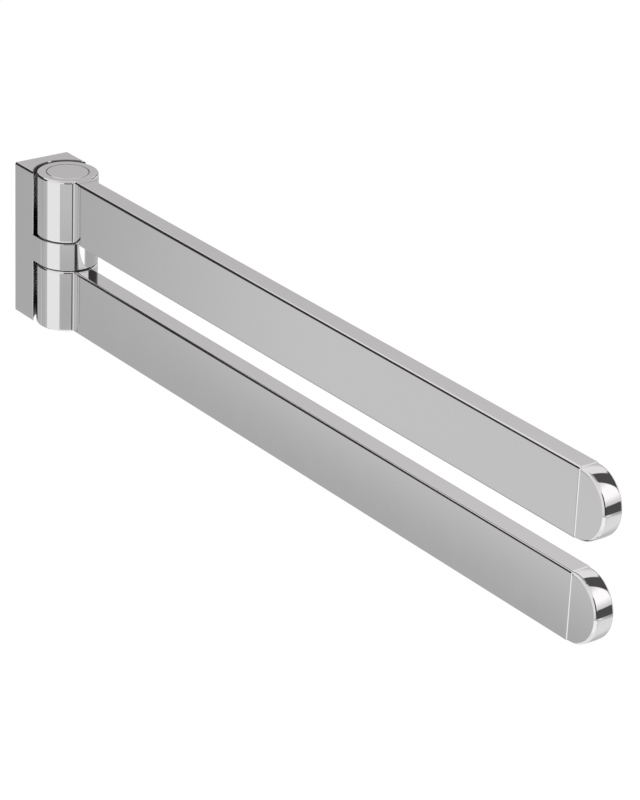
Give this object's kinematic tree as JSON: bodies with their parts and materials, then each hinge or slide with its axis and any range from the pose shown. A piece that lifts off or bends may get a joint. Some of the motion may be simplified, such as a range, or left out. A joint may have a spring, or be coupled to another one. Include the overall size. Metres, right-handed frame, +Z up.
{
  "type": "swing arm towel bar",
  "caption": "Wall bracket whose upright pin carries flat swivel arms one above the other, each with a barrel hinge and a half-round end, for hanging towels.",
  "frame": {"origin": "centre of the bracket's back, on the wall plane, at mid-height between the two arms", "axes": "+Z up, +Y into the wall, so the arms point to -Y at rest; +X along the wall, to the right for someone facing it"},
  "size_m": [0.031, 0.44, 0.08],
  "materials": {
    "chrome": "mirror-polished chrome plate",
    "steel": "zinc-plated or stainless steel, fine turned",
    "nylon": "natural nylon, satin",
    "acetal": "dark moulded acetal, satin"
  },
  "bodies": {
    "bracket": {"wall_bracket": "chrome", "wall_plate": "steel", "plate_lock_screw": "steel", "hinge_pin": "steel", "pin_lock_screw": "steel", "upper_slip_washer": "acetal", "lower_slip_washer": "acetal", "upper_spring_washer": "steel", "lower_spring_washer": "steel", "upper_thrust_washer": "steel", "lower_thrust_washer": "steel", "retaining_screws": "steel"},
    "upper_arm": {"upper_hinge_barrel": "chrome", "upper_arm_tube": "chrome", "upper_end_cap": "chrome", "upper_inner_bush": "nylon", "upper_outer_bush": "nylon", "top_cover_cap": "chrome"},
    "lower_arm": {"lower_hinge_barrel": "chrome", "lower_arm_tube": "chrome", "lower_end_cap": "chrome", "lower_inner_bush": "nylon", "lower_outer_bush": "nylon", "bottom_cover_cap": "chrome"}
  },
  "joints": [
    {"name": "upper_arm_swing", "type": "hinge", "parent": "bracket", "child": "upper_arm", "pos_m": [0, -0.0245, 0.02375], "axis": [0, 0, 1], "range_deg": [-90, 90]},
    {"name": "lower_arm_swing", "type": "hinge", "parent": "bracket", "child": "lower_arm", "pos_m": [0, -0.0245, -0.02375], "axis": [0, 0, 1], "range_deg": [-90, 90]}
  ]
}
